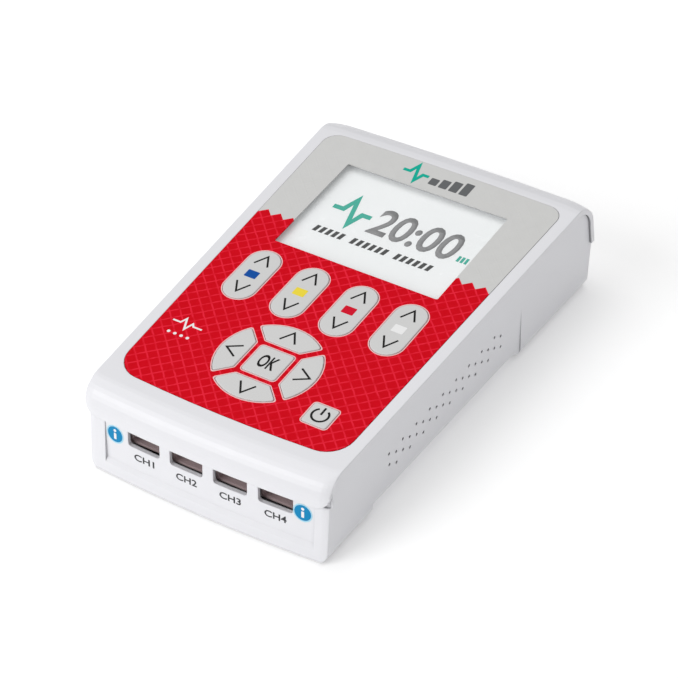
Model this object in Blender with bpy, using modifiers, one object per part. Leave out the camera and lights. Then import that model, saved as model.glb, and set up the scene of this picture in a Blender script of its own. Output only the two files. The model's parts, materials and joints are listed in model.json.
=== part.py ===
"""A hand-held four channel electrotherapy unit, lying on its back.

+Z is up, -Y is the end with the four output sockets, +Y is the display end.
The origin is under the middle of the unit, on the surface that it rests on.
Sizes are in millimetres, and MM turns them into Blender's metres.
"""

import math

import bmesh
import bpy
from mathutils import Matrix, Vector

MM = 0.001

# Deck: the plane of the front panel, which rises towards the display end.
DECK_Z = 29.03
DECK_SLOPE = 0.0358
DECK_TILT = math.atan(DECK_SLOPE)

# Both shells widen towards the display end, and both of their ends are bowed in plan.
BODY_TAPER = 0.0349
FRONT_BOW = 0.001
REAR_BOW = 0.00042

# Towards the corners the ends also curl back, which rounds the corners in plan.
FRONT_CURL_X = 34.8
FRONT_CURL = 0.075
REAR_CURL_X = 35.5
REAR_CURL = 0.025
REAR_REACH = 1.0

# Top cover: one bent plate with a front lip and a rear flange.
COVER_HALF_WIDTH = 39.91
COVER_WALL = 1.5
FRONT_BEND_Y = -60.0
FRONT_BEND_RADIUS = 7.0
LIP_BOTTOM_Z = 18.2
LIP_CORNER = 4.3
REAR_BEND_Y = 57.0
REAR_BEND_RADIUS = 9.2
FLANGE_BOTTOM_Z = 15.6
FLANGE_FLARE = 0.9
RIM_RADIUS = 0.9

# Lower case, with a gap to the cover.
FIT = 0.3
CASE_HALF_WIDTH = 39.25
CASE_FRONT_Y = -68.05
CASE_REAR_Y = 64.4
END_LEAN = 0.13
LEAN_TOP_Z = 18.0
CASE_WALL = 2.2
FRONT_WALL = 2.4
CASE_EDGE_RADIUS = 3.4
CASE_CORNER_RADIUS = 2.5
FOOT_EDGE_RADIUS = 0.8
WAIST_Z = 1.7
WAIST_FLOOR_Z = 3.8
WAIST_STEP = 0.4
WAIST_RAMP = 2.5
WAIST_FRONT_Y = -45.3
WAIST_REAR_Y = 27.5

# Face overlay and display window, measured on the deck.
OVERLAY_FRONT_Y = -56.73
OVERLAY_REAR_Y = 56.87
OVERLAY_HALF_WIDTH = 36.29
OVERLAY_TAPER = 0.0321
OVERLAY_CORNER_FRONT = 7.2
OVERLAY_CORNER_REAR = 4.6
OVERLAY_BOW_FRONT = 0.0012
OVERLAY_BOW_REAR = 0.0004
OVERLAY_TOP = 0.05
OVERLAY_BOTTOM = -0.35
WINDOW_Y = 26.9
WINDOW_HALF_X = 25.86
WINDOW_HALF_Y = 19.25

# Keys.
ROCKER_Y = -7.5
ROCKER_PITCH = 15.44
ROCKER_HALF_LENGTH = 10.5
ROCKER_HALF_WIDTH = 4.75
PAD_Y = -34.85
PAD_RADIUS = 14.55
PAD_INNER = 7.15
PAD_SPOKE = 1.3
ENTER_HALF = 5.15
POWER_X = 22.5
POWER_Y = -44.95
POWER_HALF = 3.73
KEY_CORNER = 0.8
KEY_TOP = 0.3
KEY_BOTTOM = -2.7
KEY_FLANGE = 0.6
KEY_GAP = 0.22
KEY_EDGE = 0.25

# Output sockets in a recessed panel in the front wall.
SOCKET_MIDDLE_X = 1.25
SOCKET_PITCH = 13.55
SOCKET_HALF_WIDTH = 5.15
SOCKET_FLOOR_Z = 12.2
SOCKET_ROOF_Z = 18.4
SOCKET_WALL = 0.8
SOCKET_BACK_Y = -51.3
SOCKET_HOLE_END_Y = -52.3
PIN_LENGTH = 6.5
PIN_SPACING = 3.6
PIN_RADIUS = 0.6
PANEL_X0 = -31.7
PANEL_X1 = 33.1
PANEL_DEPTH = 0.7

# Staggered dimples in each side wall.
DIMPLE_START_Y = -37.3
DIMPLE_START_Z = 15.5
DIMPLE_PITCH = 6.42
DIMPLE_ROW = 1.85
DIMPLE_RISE = 0.036
DIMPLE_RADIUS = 0.5

# Four power cells side by side above the waist of the case.
CELL_RADIUS = 5.2
CELL_PITCH = 10.7
CELL_FRONT_Y = -27.5
CELL_REAR_Y = 17.0
CELL_Z = 9.2
BAY_HALF_WIDTH = 22.3
BAY_FRONT_Y = -30.0
BAY_REAR_Y = 19.5
BAY_ROOF_Z = 14.7
DOOR_HALF_WIDTH = 24.3
DOOR_MARGIN = 2.0
DOOR_TOP_Z = 3.4

# Charging jack in the rear wall.
JACK_X = -18.0
JACK_Z = 9.0
JACK_RADIUS = 3.3
JACK_FACE_Y = 64.0
JACK_BACK_Y = 51.0

# Posts in the four corners take the case screws.
POSTS = [(-31.6, -55.5), (31.6, -55.5), (-33.0, 48.0), (33.0, 48.0)]
POST_RADIUS = 2.7
POST_LOW_Z = 12.4
BOSS_RADIUS = 3.7
SCREW_SEAT_Z = 5.0

# Circuit boards, measured down from the deck.
DOME_SHEET_TOP = -3.7
DOME_TOP = -3.3
KEYPAD_BOARD_TOP = -4.2
MAIN_BOARD_TOP = -8.0
BOARD = 1.6
BOARD_HALF_WIDTH = 29.5


# Scene ------------------------------------------------------------------------------

for old in list(bpy.data.objects):
    bpy.data.objects.remove(old, do_unlink=True)
for old in list(bpy.data.collections):
    bpy.data.collections.remove(old)

unit = bpy.data.collections.new("tens_unit")
cutters = bpy.data.collections.new("cutters")
bpy.context.scene.collection.children.link(unit)
bpy.context.scene.collection.children.link(cutters)


def at(x, y, z):
    return Matrix.Translation(Vector((x, y, z)) * MM)


DECK = at(0, 0, DECK_Z) @ Matrix.Rotation(DECK_TILT, 4, "X")


def deck_z(y):
    return DECK_Z + DECK_SLOPE * y


# Materials --------------------------------------------------------------------------


def material(name, color, roughness=0.5, metallic=0.0):
    made = bpy.data.materials.new(name)
    made.use_nodes = True
    shader = made.node_tree.nodes["Principled BSDF"]
    shader.inputs["Base Color"].default_value = (*color, 1.0)
    shader.inputs["Roughness"].default_value = roughness
    shader.inputs["Metallic"].default_value = metallic
    made.diffuse_color = (*color, 1.0)
    return made


white_shell = material("white_shell", (0.83, 0.83, 0.85), 0.35)
overlay_print = material("overlay_print", (0.62, 0.0, 0.02), 0.4)
key_grey = material("key_grey", (0.6, 0.6, 0.59), 0.45)
clear_lens = material("clear_lens", (0.85, 0.86, 0.86), 0.1)
screen_glass = material("screen_glass", (0.8, 0.82, 0.8), 0.15)
light_guide = material("light_guide", (0.9, 0.9, 0.88), 0.4)
board_green = material("board_green", (0.02, 0.2, 0.07), 0.45)
film_clear = material("film_clear", (0.75, 0.72, 0.6), 0.35)
flex_amber = material("flex_amber", (0.55, 0.25, 0.04), 0.4)
black_plastic = material("black_plastic", (0.02, 0.02, 0.02), 0.5)
socket_brown = material("socket_brown", (0.12, 0.08, 0.08), 0.5)
plated_metal = material("plated_metal", (0.75, 0.75, 0.73), 0.25, 1.0)
winding_brown = material("winding_brown", (0.35, 0.15, 0.06), 0.5)
cell_jacket = material("cell_jacket", (0.05, 0.3, 0.12), 0.35)


# Outlines: lists of (x, y), anticlockwise -------------------------------------------


def fillet(corners, radii, steps=4):
    """Rounds each corner of a polygon with an arc of its own radius."""
    made = []
    for i, corner in enumerate(corners):
        here = Vector(corner)
        if radii[i] <= 0:
            made.append((here.x, here.y))
            continue
        back = (Vector(corners[i - 1]) - here).normalized()
        ahead = (Vector(corners[(i + 1) % len(corners)]) - here).normalized()
        half = back.angle(ahead) / 2
        middle = here + (back + ahead).normalized() * (radii[i] / math.sin(half))
        spoke = here + back * (radii[i] / math.tan(half)) - middle
        turn = 1 if back.x * ahead.y - back.y * ahead.x < 0 else -1
        for k in range(steps + 1):
            point = middle + Matrix.Rotation(turn * (math.pi - 2 * half) * k / steps, 2) @ spoke
            made.append((point.x, point.y))
    return made


def rectangle(x0, x1, y0, y1, radius=0.0, steps=3):
    corners = [(x0, y0), (x1, y0), (x1, y1), (x0, y1)]
    return fillet(corners, [radius] * 4, steps)


def moved(outline, x, y):
    return [(px + x, py + y) for px, py in outline]


def turned(outline, angle):
    points = [Matrix.Rotation(angle, 2) @ Vector(point) for point in outline]
    return [(point.x, point.y) for point in points]


def split_ends(outline, parts):
    """Splits the longest side at each end, so that it can follow a bow."""
    made = []
    for i, corner in enumerate(outline):
        here = Vector(corner)
        there = Vector(outline[(i + 1) % len(outline)])
        made.append((here.x, here.y))
        if abs(there.x - here.x) > 30.0:
            for k in range(1, parts):
                point = here.lerp(there, k / parts)
                made.append((point.x, point.y))
    return made


def overlay_outline(grow=0.0):
    front_half = OVERLAY_HALF_WIDTH + OVERLAY_TAPER * OVERLAY_FRONT_Y + grow
    rear_half = OVERLAY_HALF_WIDTH + OVERLAY_TAPER * OVERLAY_REAR_Y + grow
    front = OVERLAY_FRONT_Y - grow
    rear = OVERLAY_REAR_Y + grow
    corners = [(-front_half, front), (front_half, front), (rear_half, rear), (-rear_half, rear)]
    radii = [OVERLAY_CORNER_FRONT] * 2 + [OVERLAY_CORNER_REAR] * 2
    made = []
    for x, y in split_ends(fillet(corners, radii, 7), 6):
        bow = OVERLAY_BOW_FRONT if y < 0 else -OVERLAY_BOW_REAR
        made.append((x, y + bow * x * x))
    return made


def window_outline(grow=0.0):
    x = WINDOW_HALF_X + grow
    y = WINDOW_HALF_Y + grow
    return rectangle(-x, x, WINDOW_Y - y, WINDOW_Y + y, 0.5 + grow / 2, 2)


def rocker_outline(grow=0.0):
    wide = ROCKER_HALF_WIDTH + grow
    high = ROCKER_HALF_LENGTH + grow
    return rectangle(-wide, wide, -high, high, wide - 0.01, 6)


def square_key_outline(half, grow=0.0):
    return rectangle(-half - grow, half + grow, -half - grow, half + grow, KEY_CORNER + grow)


def arrow_outline(grow=0.0):
    """One quarter of the round pad, the one towards the display."""
    low = PAD_INNER - grow
    radius = PAD_RADIUS + grow
    slant = (PAD_SPOKE - grow) * math.sqrt(2)
    far = (-slant + math.sqrt(2 * radius * radius - slant * slant)) / 2
    first = math.atan2(far + slant, far)
    corners = [(slant - low, low), (low - slant, low)]
    for k in range(9):
        angle = first + (math.pi - 2 * first) * k / 8
        corners.append((radius * math.cos(angle), radius * math.sin(angle)))
    return fillet(corners, [0.9, 0.9, 0.7] + [0.0] * 7 + [0.7], 3)


# Solids -----------------------------------------------------------------------------


def along(axis, u, v, level):
    """A point of an outline (u, v) that lies across the axis, at a level on it."""
    place = {"X": (level, u, v), "Y": (u, level, v), "Z": (u, v, level)}
    return Vector(place[axis]) * MM


def extruded(bm, outline, levels, axis="Z", shape=None):
    """A closed body from a flat outline, extruded from each level to the next."""
    face = bm.faces.new([bm.verts.new(along(axis, u, v, levels[0])) for u, v in outline])
    verts = list(face.verts)
    for low, high in zip(levels, levels[1:]):
        start = face
        grown = bmesh.ops.extrude_face_region(bm, geom=[start])["geom"]
        face = next(item for item in grown if isinstance(item, bmesh.types.BMFace))
        if low != levels[0]:
            bmesh.ops.delete(bm, geom=[start], context="FACES_ONLY")
        step = along(axis, 0, 0, high) - along(axis, 0, 0, low)
        bmesh.ops.translate(bm, verts=face.verts, vec=step)
        verts += list(face.verts)
    if shape:
        for vert in verts:
            vert.co = Vector(shape(*(vert.co / MM))) * MM
    return face


def box(bm, x, y, z):
    """A block from three (low, high) pairs."""
    middle = at((x[0] + x[1]) / 2, (y[0] + y[1]) / 2, (z[0] + z[1]) / 2)
    sides = Matrix.Diagonal((x[1] - x[0], y[1] - y[0], z[1] - z[0], 1))
    bmesh.ops.create_cube(bm, size=MM, matrix=middle @ sides)


def rod(bm, start, end, radius, sides, end_radius=None):
    """A round bar, or a cone, from one point to another."""
    a = Vector(start) * MM
    b = Vector(end) * MM
    turn = (b - a).to_track_quat("Z", "Y").to_matrix().to_4x4()
    bmesh.ops.create_cone(
        bm,
        cap_ends=True,
        segments=sides,
        radius1=radius * MM,
        radius2=(radius if end_radius is None else end_radius) * MM,
        depth=(b - a).length,
        matrix=Matrix.Translation((a + b) / 2) @ turn,
    )


def in_order(bm):
    """The same mesh with its corners and faces sorted from the bottom up."""
    verts = sorted(bm.verts, key=lambda vert: [round(side / MM, 4) for side in vert.co.zyx])
    rank = {vert: k for k, vert in enumerate(verts)}
    rings = []
    for face in bm.faces:
        ring = [rank[vert] for vert in face.verts]
        first = ring.index(min(ring))
        rings.append(ring[first:] + ring[:first])
    made = bmesh.new()
    fresh = [made.verts.new(vert.co) for vert in verts]
    for ring in sorted(rings):
        made.faces.new([fresh[k] for k in ring])
    bm.free()
    return made


def mesh_object(name, bm, finish=None, frame=None):
    """A sub-part when it has a finish, and a cutter when it has none."""
    bmesh.ops.recalc_face_normals(bm, faces=bm.faces[:])
    if bm.faces:
        bm = in_order(bm)
    mesh = bpy.data.meshes.new(name)
    bm.to_mesh(mesh)
    bm.free()
    made = bpy.data.objects.new(name, mesh)
    made.matrix_world = frame or Matrix.Identity(4)
    if finish:
        mesh.materials.append(finish)
        unit.objects.link(made)
    else:
        cutters.objects.link(made)
        made.hide_render = True
        made.display_type = "WIRE"
    return made


def combine(made, other, operation="DIFFERENCE"):
    step = made.modifiers.new(operation.lower() + "_" + other.name, "BOOLEAN")
    step.operation = operation
    step.solver = "EXACT"
    step.object = other


def settle(made):
    """Turns an object and its modifiers into a plain mesh."""
    bpy.context.view_layer.update()
    graph = bpy.context.evaluated_depsgraph_get()
    mesh = bpy.data.meshes.new_from_object(made.evaluated_get(graph), depsgraph=graph)
    made.modifiers.clear()
    made.data = mesh


def round_edges(made, wanted, radius, steps):
    """Rounds the edges that the test picks, on a settled mesh."""
    bm = bmesh.new()
    bm.from_mesh(made.data)
    bmesh.ops.remove_doubles(bm, verts=bm.verts[:], dist=1e-6)
    bm = in_order(bm)
    limit = math.radians(0.05)
    bmesh.ops.dissolve_limit(bm, angle_limit=limit, verts=bm.verts[:], edges=bm.edges[:])
    bm.normal_update()
    picked = [edge for edge in bm.edges if len(edge.link_faces) == 2 and wanted(edge)]
    bmesh.ops.bevel(
        bm,
        geom=picked,
        offset=radius * MM,
        offset_type="OFFSET",
        segments=steps,
        profile=0.5,
        affect="EDGES",
        clamp_overlap=True,
    )
    bm.to_mesh(made.data)
    bm.free()


def smooth(made, angle=32.0):
    made.data.shade_smooth()
    made.data.set_sharp_from_angle(angle=math.radians(angle))


# Shape of the two shells ------------------------------------------------------------

HALF_COLUMNS = [9.0, 18.0, 27.0, 33.5, 35.3, 36.4, 37.3, 39.2, 41.0, 46.0]
COLUMNS = [-x for x in reversed(HALF_COLUMNS)] + [0.0] + HALF_COLUMNS


def arc(y, z, radius, start, end, steps):
    angles = [math.radians(start + (end - start) * k / steps) for k in range(steps + 1)]
    return [(y + radius * math.cos(a), z + radius * math.sin(a)) for a in angles]


def bend_line(depth, steps=9):
    """The side profile of the cover at a depth below its outer face, front to rear."""
    tilt = math.degrees(DECK_TILT)
    front_z = deck_z(FRONT_BEND_Y) - FRONT_BEND_RADIUS
    rear_z = deck_z(REAR_BEND_Y) - REAR_BEND_RADIUS
    front_y = FRONT_BEND_Y - FRONT_BEND_RADIUS + depth
    rear_y = REAR_BEND_Y + REAR_BEND_RADIUS + FLANGE_FLARE - depth
    gap = FIT if depth > COVER_WALL else 0.0
    line = [(front_y, LIP_BOTTOM_Z - gap)]
    line += arc(FRONT_BEND_Y, front_z, FRONT_BEND_RADIUS - depth, 180, 90 + tilt, steps)
    line += arc(REAR_BEND_Y, rear_z, REAR_BEND_RADIUS - depth, 90 + tilt, 0, steps)
    line.append((rear_y, FLANGE_BOTTOM_Z - gap))
    return line


def near_front(y):
    return min(1.0, max(0.0, (-48.0 - y) / 14.0))


def near_rear(y):
    return min(1.0, max(0.0, (y - 48.0) / 14.0))


def bowed(x, y, z):
    """Both ends of the unit are bowed in plan, and curl at the corners."""
    front = FRONT_BOW * x * x + FRONT_CURL * max(0.0, abs(x) - FRONT_CURL_X) ** 2
    rear = REAR_BOW * (1600 - x * x) - REAR_CURL * max(0.0, abs(x) - REAR_CURL_X) ** 2
    return (x, y + front * near_front(y) + (rear + REAR_REACH) * near_rear(y), z)


def leaned(x, y, z):
    """The end walls of the lower case lean, the front one back and the rear one out."""
    lean = END_LEAN * min(z, LEAN_TOP_Z) * (near_front(y) + near_rear(y))
    return bowed(x, y + lean, z)


def unleaned(y, z):
    """Where a point starts so that leaning brings it to (y, z)."""
    start = y
    for _ in range(20):
        start = y - END_LEAN * min(z, LEAN_TOP_Z) * (near_front(start) + near_rear(start))
    return (start, z)


def front_wall_y(x, z):
    return CASE_FRONT_Y + END_LEAN * z + FRONT_BOW * x * x


# Top cover --------------------------------------------------------------------------

bm = bmesh.new()
verts = [bm.verts.new(along("X", y, z, COLUMNS[0])) for y, z in bend_line(0.0)]
row = [bm.edges.new(pair) for pair in zip(verts, verts[1:])]
for low, high in zip(COLUMNS, COLUMNS[1:]):
    grown = bmesh.ops.extrude_edge_only(bm, edges=row)["geom"]
    row = [item for item in grown if isinstance(item, bmesh.types.BMEdge)]
    fresh = [item for item in grown if isinstance(item, bmesh.types.BMVert)]
    bmesh.ops.translate(bm, verts=fresh, vec=(MM * (high - low), 0, 0))
for vert in bm.verts:
    vert.co = Vector(bowed(*(vert.co / MM))) * MM
cover = mesh_object("top_cover", bm, white_shell)
outward = cover.data.polygons[len(cover.data.polygons) // 2].normal.z > 0
shell = cover.modifiers.new("wall", "SOLIDIFY")
shell.thickness = COVER_WALL * MM
shell.offset = -1.0 if outward else 1.0
shell.use_even_offset = True

# The long sides are cut straight, widening towards the display end.
trim_ends = (-80.0, 80.0)
trim_half = [COVER_HALF_WIDTH + BODY_TAPER * y for y in trim_ends]
bm = bmesh.new()
plan = [(-trim_half[0], trim_ends[0]), (trim_half[0], trim_ends[0])]
plan += [(trim_half[1], trim_ends[1]), (-trim_half[1], trim_ends[1])]
extruded(bm, plan, [5.0, 45.0])
cover_trim = mesh_object("cover_trim", bm)
combine(cover, cover_trim, "INTERSECT")
settle(cover)


def is_rim(edge):
    """Where the outer face of the cover meets its cut sides."""
    sides = [face for face in edge.link_faces if abs(face.normal.x) > 0.9]
    others = [face for face in edge.link_faces if abs(face.normal.x) < 0.3]
    if len(sides) != 1 or len(others) != 1:
        return False
    normal = others[0].normal
    y = (edge.verts[0].co.y + edge.verts[1].co.y) / 2 / MM
    if y < FRONT_BEND_Y:
        return normal.y < -0.02 and normal.z > -0.5
    if y > REAR_BEND_Y:
        return normal.y > 0.02 and normal.z > -0.5
    return normal.z > 0.5


round_edges(cover, is_rim, RIM_RADIUS, 3)

bm = bmesh.new()
for x, y in POSTS:
    rod(bm, (x, y, POST_LOW_Z), (x, y, deck_z(y) - COVER_WALL + 0.4), POST_RADIUS, 10)
cover_posts = mesh_object("cover_posts", bm)
combine(cover, cover_posts, "UNION")
bm = bmesh.new()
for x, y in POSTS:
    rod(bm, (x, y, POST_LOW_Z - 1.0), (x, y, deck_z(y) - COVER_WALL - 2.0), 1.5, 8)
cover_bores = mesh_object("cover_bores", bm)
combine(cover, cover_bores)

# A shallow pocket takes the overlay.
bm = bmesh.new()
extruded(bm, overlay_outline(0.12), [OVERLAY_BOTTOM - 0.15, 3.0])
overlay_pocket = mesh_object("overlay_pocket", bm, frame=DECK)
combine(cover, overlay_pocket)


def key_places():
    """Each key's name, its outline as a function of growth, and its place on the deck."""
    made = []
    for i in range(4):
        made.append((f"rocker_key_{i + 1}", rocker_outline, (i - 1.5) * ROCKER_PITCH, ROCKER_Y))
    for k, name in enumerate(["key_up", "key_right", "key_down", "key_left"]):
        angle = -k * math.pi / 2
        made.append((name, lambda grow, a=angle: turned(arrow_outline(grow), a), 0.0, PAD_Y))
    made.append(("key_ok", lambda grow: square_key_outline(ENTER_HALF, grow), 0.0, PAD_Y))
    made.append(("key_power", lambda grow: square_key_outline(POWER_HALF, grow), POWER_X, POWER_Y))
    return made


def key_holes(name, low, high, window_grow):
    bm = bmesh.new()
    for _, outline, x, y in key_places():
        extruded(bm, moved(outline(KEY_GAP), x, y), [low, high])
    extruded(bm, window_outline(window_grow), [low, high])
    return mesh_object(name, bm, frame=DECK)


combine(cover, key_holes("cover_openings", -4.0, 4.0, 1.0))

# The lower corners of the lip are rounded.
bm = bmesh.new()
lip_half = COVER_HALF_WIDTH + BODY_TAPER * (FRONT_BEND_Y - FRONT_BEND_RADIUS + 1.3)
for side in (-1, 1):
    shape = [(lip_half + 3, LIP_BOTTOM_Z - 3), (lip_half + 3, LIP_BOTTOM_Z + LIP_CORNER + 1)]
    middle_x = lip_half - LIP_CORNER
    shape += arc(middle_x, LIP_BOTTOM_Z + LIP_CORNER, LIP_CORNER + 0.05, 10, -90, 5)
    shape.append((middle_x, LIP_BOTTOM_Z - 3))
    extruded(bm, [(side * x, z) for x, z in shape], [-72.0, -63.6], "Y")
combine(cover, mesh_object("lip_corners", bm))
smooth(cover)


# Lower case -------------------------------------------------------------------------


def waist_lift(y):
    """How far the underside is raised between the two feet."""
    into = (y - WAIST_FRONT_Y) / WAIST_STEP
    out = (WAIST_REAR_Y - y) / WAIST_RAMP
    return WAIST_Z * min(1.0, max(0.0, into), max(0.0, out))


def trough(name, inset, radius, low):
    """The inside or outside of the case in cross-section, tapering in plan."""

    def tapered(x, y, z):
        half = CASE_HALF_WIDTH + BODY_TAPER * y - inset
        lift = waist_lift(y) if z < LIP_BOTTOM_Z else 0.0
        return (x * half / CASE_HALF_WIDTH, y, z + lift)

    half = CASE_HALF_WIDTH
    corners = [(-half, low), (half, low), (half, 45.0), (-half, 45.0)]
    levels = [-90.0, WAIST_FRONT_Y, WAIST_FRONT_Y + WAIST_STEP]
    levels += [WAIST_REAR_Y - WAIST_RAMP, WAIST_REAR_Y, 90.0]
    bm = bmesh.new()
    extruded(bm, fillet(corners, [radius, radius, 0, 0], 5), levels, "Y", tapered)
    return mesh_object(name, bm)


foot = FOOT_EDGE_RADIUS
front_corner = arc(CASE_FRONT_Y + foot, foot, foot, 180, 270, 3)
rear_corner = arc(CASE_REAR_Y - foot, foot, foot, 270, 360, 3)
profile = front_corner
profile += rear_corner
profile.append((CASE_REAR_Y, FLANGE_BOTTOM_Z - FIT))
profile += [unleaned(y, z) for y, z in reversed(bend_line(COVER_WALL + FIT))]
profile.append((CASE_FRONT_Y, LIP_BOTTOM_Z - FIT))
bm = bmesh.new()
extruded(bm, profile, COLUMNS, "X", leaned)
case = mesh_object("bottom_case", bm, white_shell)
combine(case, trough("case_outside", 0.0, CASE_EDGE_RADIUS, 0.0), "INTERSECT")
settle(case)


def is_case_corner(edge):
    """Where an end wall meets a side wall."""
    sides = [face for face in edge.link_faces if abs(face.normal.x) > 0.9]
    ends = [face for face in edge.link_faces if abs(face.normal.y) > 0.9]
    if len(sides) != 1 or len(ends) != 1:
        return False
    low, high = sorted(vert.co.z / MM for vert in edge.verts)
    return low > CASE_EDGE_RADIUS - 0.5 and high < LIP_BOTTOM_Z and high - low > 6.0


round_edges(case, is_case_corner, CASE_CORNER_RADIUS, 3)

# Hollow inside, open at the top.
front_y = CASE_FRONT_Y + FRONT_WALL
rear_y = CASE_REAR_Y - CASE_WALL
hollow = [(front_y, CASE_WALL), (WAIST_FRONT_Y - 2.0, CASE_WALL)]
hollow += [(WAIST_FRONT_Y - 1.0, WAIST_FLOOR_Z), (WAIST_REAR_Y, WAIST_FLOOR_Z)]
hollow += [(WAIST_REAR_Y + 2.5, CASE_WALL), (rear_y - 1.0, CASE_WALL), (rear_y, CASE_WALL + 1.0)]
hollow += [(rear_y, 13.0), unleaned(62.0, LEAN_TOP_Z), unleaned(62.0, 45.0), (front_y, 45.0)]
bm = bmesh.new()
extruded(bm, hollow, COLUMNS, "X", leaned)
case_inside = mesh_object("case_inside", bm)
inner_trough = trough("inner_trough", CASE_WALL, CASE_EDGE_RADIUS - 1.5, CASE_WALL - 0.7)
combine(case_inside, inner_trough, "INTERSECT")
settle(case_inside)
combine(case, case_inside)

# Battery bay and screw bosses stand on the floor.
bm = bmesh.new()
bay_y = (BAY_FRONT_Y - 4.0, BAY_REAR_Y + 4.0)
box(bm, (-26.2, 26.2), bay_y, (WAIST_Z + 0.6, BAY_ROOF_Z + 1.2))
for x, y in POSTS:
    rod(bm, (x, y, 1.0), (x, y, POST_LOW_Z - FIT), BOSS_RADIUS, 12)
combine(case, mesh_object("case_additions", bm), "UNION")
bm = bmesh.new()
bay_x = (-BAY_HALF_WIDTH, BAY_HALF_WIDTH)
box(bm, bay_x, (BAY_FRONT_Y, BAY_REAR_Y), (DOOR_TOP_Z - 1.0, BAY_ROOF_Z))
combine(case, mesh_object("bay_hollow", bm))
bm = bmesh.new()
gap = DOOR_MARGIN + FIT
door_x = (-DOOR_HALF_WIDTH - FIT, DOOR_HALF_WIDTH + FIT)
box(bm, door_x, (BAY_FRONT_Y - gap, BAY_REAR_Y + gap), (-3.0, DOOR_TOP_Z + FIT))
combine(case, mesh_object("door_rebate", bm))
bm = bmesh.new()
for x, y in POSTS:
    rod(bm, (x, y, SCREW_SEAT_Z + 0.3), (x, y, 20.0), 1.6, 8)
combine(case, mesh_object("screw_bores", bm))
bm = bmesh.new()
for x, y in POSTS:
    rod(bm, (x, y, -1.0), (x, y, SCREW_SEAT_Z + 0.5), 2.8, 12)
combine(case, mesh_object("screw_head_bores", bm))

# Recessed connector panel, with a sloped lower edge.
panel = [(-5.0, 2.6), (-0.4, 3.2), (PANEL_DEPTH, 5.3), (PANEL_DEPTH, 24.0), (-5.0, 24.0)]
panel = [(CASE_FRONT_Y + depth, z) for depth, z in panel]
panel_columns = [PANEL_X0 + (PANEL_X1 - PANEL_X0) * k / 10 for k in range(11)]
bm = bmesh.new()
extruded(bm, panel, panel_columns, "X", leaned)
combine(case, mesh_object("panel_recess", bm))


def socket_x(i):
    return SOCKET_MIDDLE_X + (i - 1.5) * SOCKET_PITCH


# Notches for the four sockets, closed from above by the lip of the cover.
bm = bmesh.new()
for i in range(4):
    x0 = socket_x(i) - SOCKET_HALF_WIDTH
    x1 = socket_x(i) + SOCKET_HALF_WIDTH
    shape = fillet([(x0, SOCKET_FLOOR_Z), (x1, SOCKET_FLOOR_Z), (x1, 30.0), (x0, 30.0)], [1.0, 1.0, 0, 0])
    extruded(bm, shape, [-74.0, -60.8], "Y")
combine(case, mesh_object("socket_notches", bm))

bm = bmesh.new()
rod(bm, (JACK_X, 60.0, JACK_Z), (JACK_X, 72.0, JACK_Z), JACK_RADIUS, 16)
combine(case, mesh_object("jack_opening", bm))


def dimple_places():
    """Four staggered rows, each row half a pitch behind the one above it."""
    made = []
    for column in range(-1, 9):
        rows = {-1: range(2, 4), 8: range(0, 2)}.get(column, range(4))
        for k in rows:
            y = DIMPLE_START_Y + DIMPLE_PITCH * (column + k / 2)
            z = DIMPLE_START_Z + DIMPLE_RISE * (y - DIMPLE_START_Y) - DIMPLE_ROW * k
            made.append((y, z))
    return made


bm = bmesh.new()
for side in (-1, 1):
    for y, z in dimple_places():
        x = CASE_HALF_WIDTH + BODY_TAPER * y
        rod(bm, (side * (x - 0.6), y, z), (side * (x + 1.0), y, z), DIMPLE_RADIUS, 6)
combine(case, mesh_object("dimples", bm))

# A shallow relief in each side wall ends in an upright edge near the display end.
relief_y = WAIST_REAR_Y + 0.5
relief_half = CASE_HALF_WIDTH + BODY_TAPER * relief_y
bm = bmesh.new()
for side in (-1, 1):

    def slanted(x, y, z, side=side):
        depth = 0.55 * (1 - max(0.0, z) / 17.6) - 0.55 * (relief_y - y) / 34.0
        inner = CASE_HALF_WIDTH + BODY_TAPER * y - depth
        return (side * (inner if x < 1 else inner + 4.0), y, z)

    triangle = [(relief_y - 34.0, 0.0), (relief_y, 0.0), (relief_y, 17.6)]
    extruded(bm, triangle, [0.0, 2.0], "X", slanted)
combine(case, mesh_object("side_relief", bm))
smooth(case)


# Battery door -----------------------------------------------------------------------

bm = bmesh.new()
door_y = (BAY_FRONT_Y - DOOR_MARGIN, BAY_REAR_Y + DOOR_MARGIN)
extruded(bm, rectangle(-DOOR_HALF_WIDTH, DOOR_HALF_WIDTH, *door_y), [WAIST_Z + 0.1, DOOR_TOP_Z])
door = mesh_object("battery_door", bm, white_shell)
bm = bmesh.new()
for k in range(3):
    y = door_y[0] + 4.0 + 2.6 * k
    box(bm, (-7.0, 7.0), (y, y + 1.1), (0.0, WAIST_Z + 0.7))
combine(door, mesh_object("door_grip", bm))


# Overlay, window and display --------------------------------------------------------

bm = bmesh.new()
extruded(bm, overlay_outline(), [OVERLAY_BOTTOM, OVERLAY_TOP])
overlay = mesh_object("face_overlay", bm, overlay_print, DECK)
combine(overlay, key_holes("overlay_openings", -1.0, 1.0, 0.0))

bm = bmesh.new()
extruded(bm, window_outline(0.7), [-1.5, -0.55])
mesh_object("display_window", bm, clear_lens, DECK)

bm = bmesh.new()
box(bm, (-29.0, 29.0), (WINDOW_Y - 22.6, WINDOW_Y + 22.6), (-3.8, -2.0))
mesh_object("lcd_panel", bm, screen_glass, DECK)

bm = bmesh.new()
box(bm, (-29.6, 29.6), (WINDOW_Y - 23.4, WINDOW_Y + 23.4), (-6.4, -4.1))
mesh_object("lcd_backlight", bm, light_guide, DECK)


# Keys -------------------------------------------------------------------------------


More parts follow.
